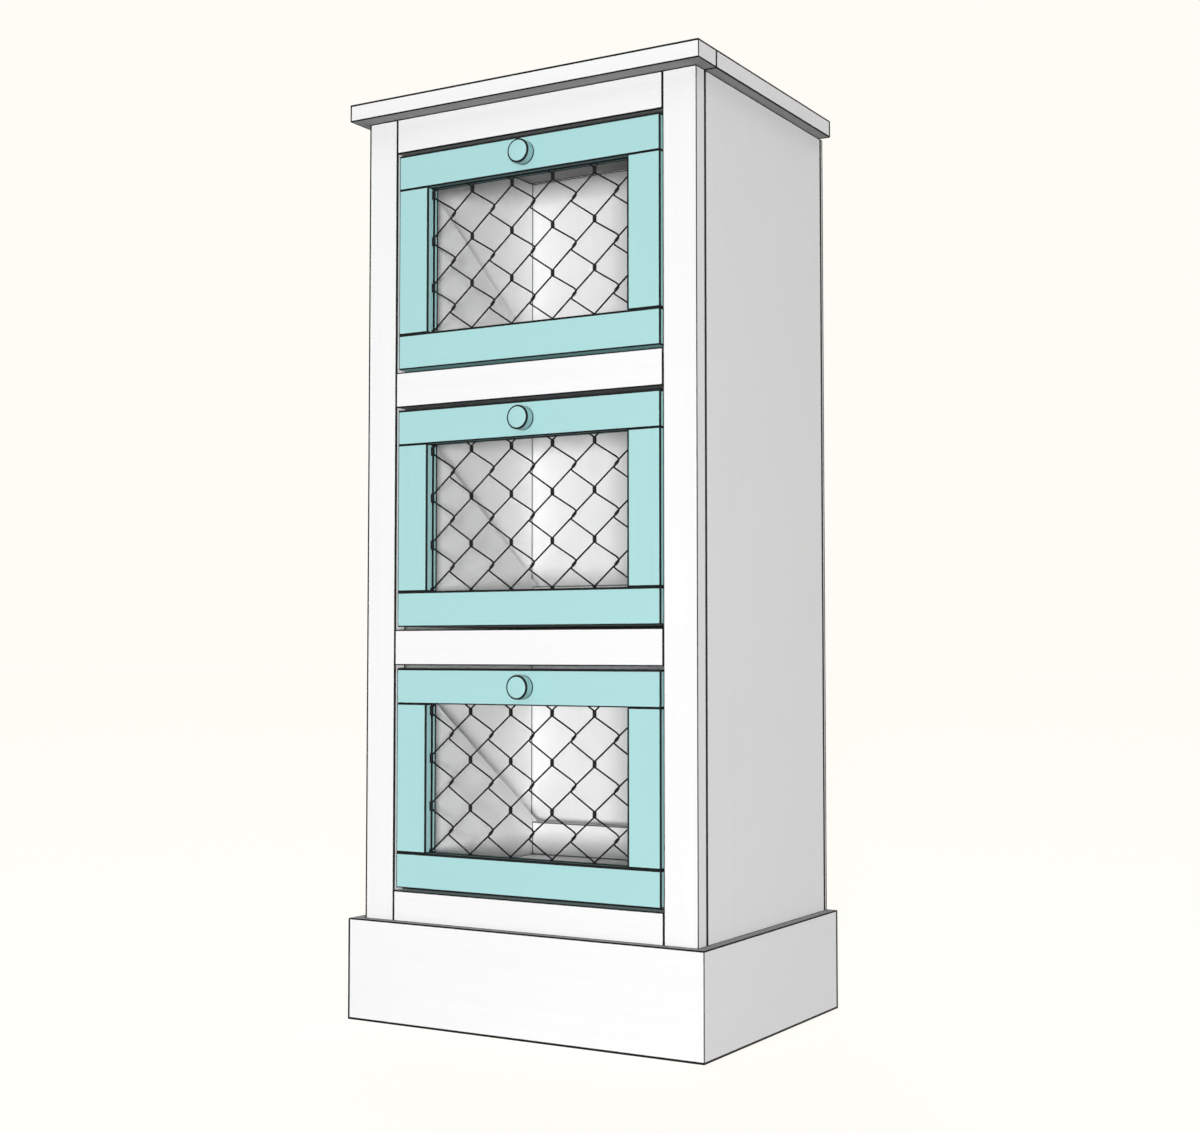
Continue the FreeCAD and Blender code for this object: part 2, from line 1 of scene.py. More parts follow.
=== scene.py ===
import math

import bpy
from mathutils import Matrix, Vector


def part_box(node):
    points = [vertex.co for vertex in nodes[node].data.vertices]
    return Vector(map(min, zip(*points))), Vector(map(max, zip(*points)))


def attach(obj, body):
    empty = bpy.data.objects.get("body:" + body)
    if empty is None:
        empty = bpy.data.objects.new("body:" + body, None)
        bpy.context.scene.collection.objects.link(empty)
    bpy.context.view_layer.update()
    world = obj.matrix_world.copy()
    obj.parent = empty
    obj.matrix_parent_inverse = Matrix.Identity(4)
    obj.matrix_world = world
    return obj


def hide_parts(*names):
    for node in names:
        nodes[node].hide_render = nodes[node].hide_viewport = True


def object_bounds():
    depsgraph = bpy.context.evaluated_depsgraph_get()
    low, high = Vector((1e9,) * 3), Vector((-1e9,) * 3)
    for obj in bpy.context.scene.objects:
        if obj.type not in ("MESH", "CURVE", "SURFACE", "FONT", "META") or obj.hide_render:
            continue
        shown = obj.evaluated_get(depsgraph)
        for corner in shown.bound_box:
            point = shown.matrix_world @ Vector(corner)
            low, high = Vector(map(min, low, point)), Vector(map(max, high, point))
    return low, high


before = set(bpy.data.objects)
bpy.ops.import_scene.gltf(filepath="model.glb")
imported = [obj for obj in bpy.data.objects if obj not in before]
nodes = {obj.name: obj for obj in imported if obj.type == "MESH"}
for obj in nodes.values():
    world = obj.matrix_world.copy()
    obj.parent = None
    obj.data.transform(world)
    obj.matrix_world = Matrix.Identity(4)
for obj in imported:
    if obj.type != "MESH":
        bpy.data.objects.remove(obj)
cad_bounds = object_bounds()

# %% [markdown]
# A cabinet for potatoes and onions stands on the floor: a tall white case with three teal
# doors. Each door is the front of a bin and tilts forward on two pins at its foot. Behind
# each door's window is a panel of black chain-link mesh. The boards come from the frame as
# they are, and this lesson gives them their paint. It models the smooth mesh wires and the
# turned knobs, sets up a plain pale studio, and puts the camera where the picture was taken.

MM = 0.001
INCH = 0.0254
BINS = ("bottom", "middle", "top")
low_corner, high_corner = (Vector(corner) for corner in cad_bounds)
print("the frame has", len(nodes), "pieces; the cabinet is", high_corner - low_corner, "m")

# %% [markdown]
# The camera comes first, because everything is judged through it. The picture was taken
# from the right of the cabinet, a little below its middle, looking slightly up. The place
# was worked out in inches from corners whose real position is known, such as those of the
# doors and the base, so it is written in inches here and turned into metres. It is counted
# from the front of the cabinet, and the frame's origin lies further back. The focal length
# was found in pixels of a picture 1200 wide, and a lens of a 36 mm sensor follows.

# %% The camera
PICTURE_WIDTH = 1200
FOCAL_PIXELS = 1803.07
SENSOR_WIDTH = 36.0
FRONT_TO_ORIGIN = 5.75
CAMERA_PLACE = Vector((40.086, -61.692, 15.533))
CAMERA_YAW = 30.573
CAMERA_PITCH = 2.734

camera_data = bpy.data.cameras.new("picture_camera")
camera_data.sensor_width = SENSOR_WIDTH
camera_data.lens = FOCAL_PIXELS / PICTURE_WIDTH * SENSOR_WIDTH
camera = bpy.data.objects.new("picture_camera", camera_data)
bpy.context.scene.collection.objects.link(camera)
camera.location = (CAMERA_PLACE - Vector((0, FRONT_TO_ORIGIN, 0))) * INCH
camera.rotation_euler = (math.radians(90 + CAMERA_PITCH), 0, math.radians(CAMERA_YAW))
bpy.context.scene.camera = camera
bpy.context.scene.view_settings.view_transform = "Standard"
print("camera at", camera.location, "with a lens of", round(camera_data.lens, 2), "mm")

# %% [markdown]
# The studio is lit softly from all round, and colours come out about as they are written.
# An even sky gives every side a little, and a wide lamp above lights what looks up. The main
# light is a softbox that stands behind the camera and about as low, so it shines in through
# the windows of the doors and its shadows fall where the camera can't see them. Its light
# doesn't fade with distance, or the left of the front would be darker than the right. A
# dimmer lamp behind the cabinet lights its back and its left side. What the camera sees of
# the sky is a pale cream instead of the light itself.
#
# Each light is written as the brightness that it gives to a white board that faces it, and
# then turned into the lamp's own units.

# %% The sky and the lamps
CREAM = (1.0, 0.974, 0.922, 1.0)
SKY_LIGHT = 0.11
CEILING_LIGHT = 0.42
CEILING_WIDTH = 110
BOX_LIGHT = 0.85
BOX_PLACE = (1.54, -2.72, 0.30)
BOX_SIZE = (0.5, 0.34)
BACK_LIGHT = 0.60
BACK_WIDTH = 40
BACK_TOWARDS = (0.62, -0.78, -0.08)


def wire_up(tree, source, target):
    """Joins an output socket to an input socket."""
    tree.links.new(source, target)


def seen_directly(tree):
    """A mask that is 1 for what the camera, a mirror or glass sees of the backdrop."""
    path = tree.nodes.new("ShaderNodeLightPath")
    total = path.outputs["Is Camera Ray"]
    for kind in ("Is Glossy Ray", "Is Transmission Ray"):
        either = tree.nodes.new("ShaderNodeMath")
        either.operation = "MAXIMUM"
        wire_up(tree, total, either.inputs[0])
        wire_up(tree, path.outputs[kind], either.inputs[1])
        total = either.outputs[0]
    return total


world = bpy.data.worlds.new("even_sky")
bpy.context.scene.world = world
world.use_nodes = True
sky = world.node_tree
sky.nodes.clear()
sky_light = sky.nodes.new("ShaderNodeBackground")
sky_light.inputs["Color"].default_value = (1, 1, 1, 1)
sky_light.inputs["Strength"].default_value = SKY_LIGHT
sky_cream = sky.nodes.new("ShaderNodeBackground")
sky_cream.inputs["Color"].default_value = CREAM
sky_mix = sky.nodes.new("ShaderNodeMixShader")
sky_out = sky.nodes.new("ShaderNodeOutputWorld")
wire_up(sky, seen_directly(sky), sky_mix.inputs[0])
wire_up(sky, sky_light.outputs[0], sky_mix.inputs[1])
wire_up(sky, sky_cream.outputs[0], sky_mix.inputs[2])
wire_up(sky, sky_mix.outputs[0], sky_out.inputs[0])

softbox_data = bpy.data.lights.new("softbox", "AREA")
softbox_data.shape = "RECTANGLE"
softbox_data.size, softbox_data.size_y = BOX_SIZE
softbox_data.energy = BOX_LIGHT * math.pi * math.pi
softbox_data.use_nodes = True
tree = softbox_data.node_tree
tree.nodes.clear()
unfading = tree.nodes.new("ShaderNodeLightFalloff")
unfading.inputs["Strength"].default_value = 1.0
beam = tree.nodes.new("ShaderNodeEmission")
beam_out = tree.nodes.new("ShaderNodeOutputLight")
wire_up(tree, unfading.outputs["Constant"], beam.inputs["Strength"])
wire_up(tree, beam.outputs[0], beam_out.inputs[0])
softbox = bpy.data.objects.new("softbox", softbox_data)
bpy.context.scene.collection.objects.link(softbox)
softbox.location = BOX_PLACE
softbox.rotation_euler = (math.radians(90), 0, math.atan2(BOX_PLACE[0], -BOX_PLACE[1]))
softbox.visible_camera = False


def wide_lamp(name, light, degrees, towards):
    """A lamp without a place: it lights everything alike from a wide patch of the sky."""
    lamp_data = bpy.data.lights.new(name, "SUN")
    lamp_data.energy = light * math.pi
    lamp_data.angle = math.radians(degrees)
    lamp = bpy.data.objects.new(name, lamp_data)
    bpy.context.scene.collection.objects.link(lamp)
    lamp.rotation_euler = Vector(towards).to_track_quat("-Z", "Y").to_euler()


wide_lamp("ceiling_lamp", CEILING_LIGHT, CEILING_WIDTH, (0, 0, -1))
wide_lamp("back_lamp", BACK_LIGHT, BACK_WIDTH, BACK_TOWARDS)
print("lamps:", [lamp.name for lamp in bpy.data.lights])

# %% [markdown]
# The floor is one large plane. Lit alone it would be darker than the sky behind it, with a
# line at the horizon. So the camera also sees a little glow of the floor's own, just enough
# to bring a floor lit from above up to the cream behind it. The back lamp shines so low that
# the floor catches only a small share of it. The shadow of the cabinet stays, because a
# shadow takes away the lit part and leaves only the glow.

# %% The floor
FLOOR_SIZE = 60
FLOOR_COLOUR = 0.4
BACK_ON_FLOOR = 0.15

bpy.ops.mesh.primitive_plane_add(size=FLOOR_SIZE, location=(0, 0, low_corner.z))
floor = bpy.context.active_object
floor.name = "studio_floor"
floor_finish = bpy.data.materials.new("studio_floor")
floor_finish.use_nodes = True
tree = floor_finish.node_tree
tree.nodes.clear()
lit_floor = tree.nodes.new("ShaderNodeBsdfDiffuse")
lit_floor.inputs["Color"].default_value = (FLOOR_COLOUR, FLOOR_COLOUR, FLOOR_COLOUR, 1)
glow = tree.nodes.new("ShaderNodeEmission")
lit_part = FLOOR_COLOUR * (SKY_LIGHT + CEILING_LIGHT + BACK_LIGHT * BACK_ON_FLOOR)
glow.inputs["Color"].default_value = [shade - lit_part for shade in CREAM[:3]] + [1]
wire_up(tree, seen_directly(tree), glow.inputs["Strength"])
both = tree.nodes.new("ShaderNodeAddShader")
floor_out = tree.nodes.new("ShaderNodeOutputMaterial")
wire_up(tree, lit_floor.outputs[0], both.inputs[0])
wire_up(tree, glow.outputs[0], both.inputs[1])
wire_up(tree, both.outputs[0], floor_out.inputs[0])
floor.data.materials.append(floor_finish)
print("the floor is", FLOOR_SIZE, "m wide")

# %% [markdown]
# A few effects return in many finishes, so each is a node group. A group gives out only
# colours, masks, values and heights, and the material itself holds the shader, because the
# export reads a shader only there. These helpers make a group and the nodes inside it.

# %% Helpers for node groups


def new_group(name, inputs, outputs):
    """A shader node group with named sockets, and its input and output nodes."""
    group = bpy.data.node_groups.new(name, "ShaderNodeTree")
    for title, kind in inputs:
        group.interface.new_socket(title, in_out="INPUT", socket_type=f"NodeSocket{kind}")
    for title, kind in outputs:
        group.interface.new_socket(title, in_out="OUTPUT", socket_type=f"NodeSocket{kind}")
    return group, group.nodes.new("NodeGroupInput"), group.nodes.new("NodeGroupOutput")


def maths(tree, operation, *terms):
    """A Math node; each term is a socket or a plain number."""
    node = tree.nodes.new("ShaderNodeMath")
    node.operation = operation
    for socket, term in zip(node.inputs, terms):
        if isinstance(term, bpy.types.NodeSocket):
            wire_up(tree, term, socket)
        else:
            socket.default_value = term
    return node.outputs[0]


def vectors(tree, operation, *terms):
    """A Vector Math node; each term is a socket or a plain vector."""
    node = tree.nodes.new("ShaderNodeVectorMath")
    node.operation = operation
    for socket, term in zip(node.inputs, terms):
        if isinstance(term, bpy.types.NodeSocket):
            wire_up(tree, term, socket)
        else:
            socket.default_value = term
    return node.outputs[0]


def axes(tree, vector):
    """The three parts of a vector."""
    node = tree.nodes.new("ShaderNodeSeparateXYZ")
    wire_up(tree, vector, node.inputs[0])
    return node.outputs


def blend_colours(tree, amount, first, second, mode="MIX"):
    """A colour Mix node; each term is a socket or a plain value."""
    node = tree.nodes.new("ShaderNodeMix")
    node.data_type = "RGBA"
    node.blend_type = mode
    for title, term in (("Factor", amount), ("A", first), ("B", second)):
        socket = next(item for item in node.inputs if item.name == title and item.enabled)
        if isinstance(term, bpy.types.NodeSocket):
            wire_up(tree, term, socket)
        else:
            socket.default_value = term
    return next(item for item in node.outputs if item.enabled)


def noise(tree, vector, scale, detail, roughness=0.5):
    """Noise read at a vector; gives its even grey value."""
    node = tree.nodes.new("ShaderNodeTexNoise")
    node.inputs["Scale"].default_value = scale
    node.inputs["Detail"].default_value = detail
    node.inputs["Roughness"].default_value = roughness
    wire_up(tree, vector, node.inputs["Vector"])
    return node.outputs["Fac"]


def between(tree, value, low, high):
    """Turns a value from 0 to 1 into one from low to high."""
    return maths(tree, "ADD", maths(tree, "MULTIPLY", value, high - low), low)


def swing(tree, value, depth):
    """Turns a value from 0 to 1 into a factor that swings by a depth about 1."""
    return between(tree, value, 1 - depth / 2, 1 + depth / 2)


def use_group(tree, group, **values):
    """A group's node in a material, with its plain values set by name."""
    node = tree.nodes.new("ShaderNodeGroup")
    node.node_tree = group
    for title, value in values.items():
        node.inputs[title].default_value = value
    return node


print("helpers ready")

# %% [markdown]
# The first group finds the edges of a board. In the picture a fine dark line runs along
# every edge, and the finishes paint a fine dark line along the edges of each board. Low and
# High are the corners of the board's own box. Of a point's distances to the box's three pairs
# of sides, the least is nothing, because the point lies on a face, and the middle one is its
# distance to the nearest edge. Distances are counted in widths of the line, which is wider
# from front to back.
#
# Some edges don't lie on the box, such as the rounded end of a moulding. The eased edge
# itself is found by its normal, which is far from every axis. The same normal tells which
# faces look up or down.

# %% A group for the edges of a board
LINE_WIDTHS = (1.3 * MM, 2.3 * MM, 1.3 * MM)
EASED_NORMAL = 0.76
LEVEL_NORMAL = 0.7

board_edges, corners_in, edges_out = new_group(
    "board_edges",
    (("Low", "Vector"), ("High", "Vector")),
    (("Edge", "Float"), ("Eased", "Float"), ("Up", "Float"), ("Down", "Float")),
)
place = board_edges.nodes.new("ShaderNodeTexCoord")
from_low = vectors(board_edges, "SUBTRACT", place.outputs["Object"], corners_in.outputs["Low"])
to_high = vectors(board_edges, "SUBTRACT", corners_in.outputs["High"], place.outputs["Object"])
from_low = vectors(board_edges, "ABSOLUTE", from_low)
to_high = vectors(board_edges, "ABSOLUTE", to_high)
nearer = vectors(board_edges, "MINIMUM", from_low, to_high)
away = axes(board_edges, vectors(board_edges, "DIVIDE", nearer, LINE_WIDTHS))
least = maths(board_edges, "MINIMUM", away[0], away[1])
most = maths(board_edges, "MAXIMUM", away[0], away[1])
middle = maths(board_edges, "MAXIMUM", least, maths(board_edges, "MINIMUM", most, away[2]))
facing = axes(board_edges, place.outputs["Normal"])
straightest = 0.0
for part in facing:
    size = maths(board_edges, "ABSOLUTE", part)
    straightest = maths(board_edges, "MAXIMUM", size, straightest)
masks = {
    "Edge": maths(board_edges, "LESS_THAN", middle, 1.0),
    "Eased": maths(board_edges, "LESS_THAN", straightest, EASED_NORMAL),
    "Up": maths(board_edges, "GREATER_THAN", facing[2], LEVEL_NORMAL),
    "Down": maths(board_edges, "LESS_THAN", facing[2], -LEVEL_NORMAL),
}
for title, mask in masks.items():
    wire_up(board_edges, mask, edges_out.inputs[title])
print("the group gives out", list(masks))

# %% [markdown]
# The second group is brushed paint. A brush leaves fine strokes along the board, and the
# wood's slow grain shows faintly through, so both are noise that is stretched along the
# board: Stretch gives how often the pattern changes in a metre along each axis. A third
# noise, the same in all directions, keeps a large face from looking printed.

# %% A group for brushed paint
STROKES, GRAIN, CLOUDS = 1.0, 0.16, 5.0
STROKE_SWING, GRAIN_SWING, CLOUD_SWING = 0.04, 0.06, 0.04
GRAIN_DULLNESS = 0.16

brushed_paint, paint_in, paint_out = new_group(
    "brushed_paint",
    (("Paint", "Color"), ("Stretch", "Vector"), ("Dullness", "Float")),
    (("Colour", "Color"), ("Roughness", "Float"), ("Height", "Float")),
)
place = brushed_paint.nodes.new("ShaderNodeTexCoord")
along = vectors(brushed_paint, "MULTIPLY", place.outputs["Object"], paint_in.outputs["Stretch"])
strokes = noise(brushed_paint, along, STROKES, detail=3)
grain = noise(brushed_paint, along, GRAIN, detail=5, roughness=0.62)
clouds = noise(brushed_paint, place.outputs["Object"], CLOUDS, detail=4)
shade = swing(brushed_paint, strokes, STROKE_SWING)
shade = maths(brushed_paint, "MULTIPLY", shade, swing(brushed_paint, grain, GRAIN_SWING))
shade = maths(brushed_paint, "MULTIPLY", shade, swing(brushed_paint, clouds, CLOUD_SWING))
grey = brushed_paint.nodes.new("ShaderNodeCombineColor")
for channel in grey.inputs:
    wire_up(brushed_paint, shade, channel)
coat = blend_colours(brushed_paint, 1.0, paint_in.outputs["Paint"], grey.outputs[0], "MULTIPLY")
wire_up(brushed_paint, coat, paint_out.inputs["Colour"])
uneven = maths(brushed_paint, "MULTIPLY", grain, GRAIN_DULLNESS)
dullness = maths(brushed_paint, "ADD", paint_in.outputs["Dullness"], uneven)
wire_up(brushed_paint, dullness, paint_out.inputs["Roughness"])
relief = maths(brushed_paint, "ADD", strokes, grain)
wire_up(brushed_paint, relief, paint_out.inputs["Height"])
print("brushed paint swings by grain, clouds and strokes")

# %% [markdown]
# A painted board joins the two groups. Its strokes run along its own length, and its lines
# lie along its own edges, so each board has a finish of its own, made by one function. On
# some faces that look up or down a painted shade is put into the colour: it is darker and
# duller there. In the picture they are the dark bands under the top, round the windows and
# on top of the base.
# The paint is matte, which is set on the shader's own socket.

# %% The finish of a painted board
X, Y, Z = range(3)
ACROSS_GRAIN = 620.0
ALONG_GRAIN = 9.0
RELIEF_DEPTH = 0.06 * MM
PAINT_SHINE = 0.15
PAINT_DULLNESS = 0.5
# Painted shade: faces that look up or down are darkened to this share of their paint.
LEVEL_FACE_SHADE = 0.30
LEVEL_FACE_DULLNESS = 0.95
DARK_LINE = (0.008, 0.009, 0.01, 1)
SOFT_LINE = (0.16, 0.16, 0.16, 1)
WHITE = (0.955, 0.955, 0.953, 1)
TEAL = (0.435, 0.73, 0.73, 1)


def new_finish(name):
    """An empty material, its tree and its shader, joined to the output."""
    finish = bpy.data.materials.new(name)
    finish.use_nodes = True
    tree = finish.node_tree
    tree.nodes.clear()
    shader = tree.nodes.new("ShaderNodeBsdfPrincipled")
    out = tree.nodes.new("ShaderNodeOutputMaterial")
    wire_up(tree, shader.outputs[0], out.inputs[0])
    return finish, tree, shader


def raise_surface(tree, shader, height, depth):
    """Turns a height into the shader's normal."""
    bump = tree.nodes.new("ShaderNodeBump")
    bump.inputs["Strength"].default_value = 1.0
    bump.inputs["Distance"].default_value = depth
    wire_up(tree, height, bump.inputs["Height"])
    wire_up(tree, bump.outputs["Normal"], shader.inputs["Normal"])


def painted_board(low, high, paint, grain_axis, shaded_sides=(), line=DARK_LINE, rounded=True):
    """The paint of a board between two corners, whose grain runs along X, Y or Z."""
    finish, tree, shader = new_finish("painted_board")
    stretch = [ACROSS_GRAIN] * 3
    stretch[grain_axis] = ALONG_GRAIN
    coat = use_group(tree, brushed_paint, Paint=paint, Stretch=stretch, Dullness=PAINT_DULLNESS)
    edges = use_group(tree, board_edges, Low=low, High=high)
    colour = coat.outputs["Colour"]
    dullness = coat.outputs["Roughness"]
    shaded_colour = [shade * LEVEL_FACE_SHADE for shade in paint[:3]] + [1]
    # Painted shade: on the listed sides, faces that look up or down get a darker, duller colour.
    for side in shaded_sides:
        colour = blend_colours(tree, edges.outputs[side], colour, shaded_colour)
        rough = maths(tree, "MULTIPLY", edges.outputs[side], LEVEL_FACE_DULLNESS)
        dullness = maths(tree, "MAXIMUM", dullness, rough)
    drawn = edges.outputs["Edge"]
    if rounded:
        drawn = maths(tree, "MAXIMUM", drawn, edges.outputs["Eased"])
    colour = blend_colours(tree, drawn, colour, line)
    wire_up(tree, colour, shader.inputs["Base Color"])
    wire_up(tree, dullness, shader.inputs["Roughness"])
    shader.inputs["Specular IOR Level"].default_value = PAINT_SHINE
    raise_surface(tree, shader, coat.outputs["Height"], RELIEF_DEPTH)
    return finish


print("strokes are", ACROSS_GRAIN / ALONG_GRAIN, "times as long as wide")

# %% [markdown]
# The small hidden pieces have plain workshop finishes: bare hardwood for the stop pegs,
# bright steel for pins and screws, and grey felt for the pads. Wood is a pale base with
# darker stretched noise, steel is metal with fine scratches in its roughness, and felt is
# a tangle of noise with a soft sheen, which is set on the shader's own socket.

# %% Wood, steel and felt
WOOD_FIBRES = (14, 340, 340)
DARK_WOOD = (0.40, 0.25, 0.13, 1)
PALE_WOOD = (0.66, 0.47, 0.28, 1)
WOOD_RELIEF = 0.1 * MM
STEEL_SCRATCHES = (180, 2600, 2600)
DARK_STEEL = (0.56, 0.56, 0.57, 1)
PALE_STEEL = (0.70, 0.69, 0.67, 1)
FELT_FIBRES = 2400
DARK_FELT = (0.16, 0.16, 0.165, 1)
PALE_FELT = (0.33, 0.33, 0.335, 1)
FELT_DULLNESS = 0.95
FELT_SHEEN = 0.3
FELT_RELIEF = 0.4 * MM


def stretched_place(tree, scale):
    """A point's place on its piece, stretched by a scale along each axis."""
    place = tree.nodes.new("ShaderNodeTexCoord")
    along = tree.nodes.new("ShaderNodeMapping")
    along.inputs["Scale"].default_value = scale
    wire_up(tree, place.outputs["Object"], along.inputs["Vector"])
    return along.outputs[0]


def hardwood(name):
    """Bare pale wood whose grain runs along X."""
    finish, tree, shader = new_finish(name)
    fibres = noise(tree, stretched_place(tree, WOOD_FIBRES), 1.0, detail=6, roughness=0.6)
    ramp = tree.nodes.new("ShaderNodeValToRGB")
    dark_end, pale_end = ramp.color_ramp.elements
    dark_end.color = DARK_WOOD
    dark_end.position = 0.3
    pale_end.color = PALE_WOOD
    pale_end.position = 0.68
    wire_up(tree, fibres, ramp.inputs[0])
    wire_up(tree, ramp.outputs[0], shader.inputs["Base Color"])
    wire_up(tree, between(tree, fibres, 0.5, 0.7), shader.inputs["Roughness"])
    raise_surface(tree, shader, fibres, WOOD_RELIEF)
    return finish


def bright_steel(name):
    """Plated steel with fine scratches."""
    finish, tree, shader = new_finish(name)
    scratches = noise(tree, stretched_place(tree, STEEL_SCRATCHES), 1.0, detail=4)
    shader.inputs["Metallic"].default_value = 1.0
    tint = blend_colours(tree, scratches, DARK_STEEL, PALE_STEEL)
    wire_up(tree, tint, shader.inputs["Base Color"])
    wire_up(tree, between(tree, scratches, 0.2, 0.42), shader.inputs["Roughness"])
    return finish


def pressed_felt(name):
    """Grey felt: a tangle of short fibres."""
    finish, tree, shader = new_finish(name)
    place = tree.nodes.new("ShaderNodeTexCoord")
    fibres = noise(tree, place.outputs["Object"], FELT_FIBRES, detail=6, roughness=0.7)
    tint = blend_colours(tree, fibres, DARK_FELT, PALE_FELT)
    wire_up(tree, tint, shader.inputs["Base Color"])
    shader.inputs["Roughness"].default_value = FELT_DULLNESS
    shader.inputs["Sheen Weight"].default_value = FELT_SHEEN
    raise_surface(tree, shader, fibres, FELT_RELIEF)
    return finish


peg_wood = hardwood("peg_wood")
pin_steel = bright_steel("pin_steel")
grey_felt = pressed_felt("grey_felt")
print("small finishes:", peg_wood.name, pin_steel.name, grey_felt.name)

# %% [markdown]
# The mesh is black coated wire. It is nearly black all over, and a little noise in colour
# and roughness keeps it from looking like a drawn line: the coating is thicker in some
# places than in others.

# %% The black wire's finish
COATING_PATCHES = 260
THICK_COATING = (0.002, 0.002, 0.003, 1)
THIN_COATING = (0.012, 0.012, 0.013, 1)
COATING_SHINE = 0.2
COATING_RELIEF = 0.08 * MM

wire_finish, tree, shader = new_finish("black_coated_wire")
place = tree.nodes.new("ShaderNodeTexCoord")
patches = noise(tree, place.outputs["Object"], COATING_PATCHES, detail=4, roughness=0.6)
tint = blend_colours(tree, patches, THICK_COATING, THIN_COATING)
wire_up(tree, tint, shader.inputs["Base Color"])
shader.inputs["Specular IOR Level"].default_value = COATING_SHINE
wire_up(tree, between(tree, patches, 0.35, 0.60), shader.inputs["Roughness"])
raise_surface(tree, shader, patches, COATING_RELIEF)
print("wire finish:", wire_finish.name)

# %% [markdown]
# Now every piece of the frame gets its finish. The first list holds the painted boards: what
# the name starts with, the paint, the direction in which the board was cut, and the sides
# that get a painted shade. Uprights run along Z, rails and shelves along X, and the pieces
# from front to back along Y. Inside the bins the lines are softer, because nobody looks for
# a crisp edge there. The second list holds what isn't painted.
#
# In the picture the lines along the outline are wider, and those at the corner in front are
# finer. So some sides of a board's box are moved before its lines are measured: inwards for
# a wider line, and outwards for a finer one. The strips that hold the mesh are one piece
# with a window in it, so their lines are measured from the corners of the window.

# %% The finish of each piece
BOARDS = (
    ("side_panel", (WHITE, Z)),
    ("back_panel", (WHITE, Z)),
    ("face_stile", (WHITE, Z)),
    ("face_rail", (WHITE, X, ("Down",))),
    ("shelf", (WHITE, X, ("Down",))),
    ("base_front", (WHITE, X, ("Up", "Down"))),
    ("base", (WHITE, Y, ("Up", "Down"))),
    ("top", (WHITE, X, ("Down",))),
    ("door_top_rail", (TEAL, X, ("Down",))),
    ("door_bottom_rail", (TEAL, X, ("Up",))),
    ("door_stile", (TEAL, Z)),
    ("mesh_retainers", (TEAL, Z, ("Up", "Down"))),
    ("bin_side", (WHITE, Y, (), SOFT_LINE, False)),
    ("bin", (WHITE, X, (), SOFT_LINE, False)),
)
LEFT, RIGHT, FRONT, BACK, BELOW, ABOVE = (X, 0), (X, 1), (Y, 0), (Y, 1), (Z, 0), (Z, 1)
WIDER, FINER = 0.8, -0.5
LINE_CHANGES = (
    ("top_front", {LEFT: WIDER, ABOVE: WIDER, FRONT: FINER, BACK: FINER, RIGHT: FINER}),
    ("top", {LEFT: WIDER, ABOVE: WIDER, BACK: WIDER}),
    ("base_front", {LEFT: WIDER, BELOW: WIDER, RIGHT: FINER}),
    ("base_right", {BELOW: WIDER, BACK: WIDER, FRONT: FINER}),
    ("base_left", {BELOW: WIDER, BACK: WIDER}),
    ("face_stile_left", {LEFT: WIDER}),
    ("face_stile_right", {FRONT: FINER, RIGHT: FINER}),
    ("door_stile_right", {LEFT: WIDER}),
    ("door_top_rail", {ABOVE: WIDER}),
    ("door_bottom_rail", {ABOVE: WIDER}),
)
UNPAINTED = (
    ("knob_screw", pin_steel),
    ("pivot_pins", pin_steel),
    ("rest_pads", grey_felt),
    ("stop_pegs", peg_wood),
)


def listed(name, rows):
    """The entry of the first row whose title the name starts with."""
    return next((entry for title, entry in rows if name.startswith(title)), None)


def dress(piece, finish):
    """Gives a piece one finish all over."""
    piece.data.materials.clear()
    piece.data.materials.append(finish)


def window(name):
    """The corners of a door's window, as deep as the strips behind it."""
    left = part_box(f"door_stile_left_{name}")[1].x
    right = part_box(f"door_stile_right_{name}")[0].x
    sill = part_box(f"door_bottom_rail_{name}")[1].z
    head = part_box(f"door_top_rail_{name}")[0].z
    front, back = (corner.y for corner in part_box(f"mesh_retainers_{name}"))
    return Vector((left, front, sill)), Vector((right, back, head))


def line_corners(name):
    """The corners from which a board's lines are measured."""
    if name.startswith("mesh_retainers"):
        return window(name.split("_")[-1])
    low, high = (corner.copy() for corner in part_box(name))
    changes = listed(name, LINE_CHANGES) or {}
    for (axis, upper), change in changes.items():
        if upper:
            high[axis] -= change * LINE_WIDTHS[axis]
        else:
            low[axis] += change * LINE_WIDTHS[axis]
    return low, high


modelled_here = []
for name, piece in nodes.items():
    board = listed(name, BOARDS)
    if board:
        finish = painted_board(*line_corners(name), *board)
        finish.name = f"paint_{name}"
    else:
        finish = listed(name, UNPAINTED)
    if finish is None:
        modelled_here.append(name)
    else:
        for slot in piece.material_slots:
            slot.material = finish
print("pieces still to be modelled:", modelled_here)

# %% [markdown]
# Chain-link mesh is made of zigzag wires side by side. Each wire is a flattened spring: its
# runs go up to the right in front and up to the left behind, and at each turn it hooks round
# the turn of its neighbour. By hand this is one wire, drawn as a path through the corners
# of its knots, copied across, and trimmed where the frame holds it.
#
# In the picture the knots come in two kinds, by turns. In every other column the wires wind
# round each other almost twice, in a short upright twist, whose corners lie on a helix that
# is a little flat, as the panel is. The wire on its right has the same corners as the one on
# its left, turned half round. In the columns between, the wires lie along each other on the
# slope, and the left wire ends in a taller hook behind than the right one.

# %% The corners of a knot
PITCH = 25.4 * MM
WIRE = 1.8 * MM
LAYER = 0.95 * MM
TWIST_ACROSS = 1.45 * MM
TWIST_HEIGHT = 6.8 * MM
TWIST_START, TWIST_END, TWIST_STEP = 225, 855, 45
LEFT_SLOPE = ((-2.6, -1, -3.0), (0.65, 0, -0.65), (2.75, 1, 2.6), (2.4, 1, 5.0), (-0.5, 1, 7.5))
RIGHT_SLOPE = ((-2.3, 1, -4.2), (-2.75, 1, -2.6), (-0.65, 0, 0.65), (2.6, -1, 3.0))


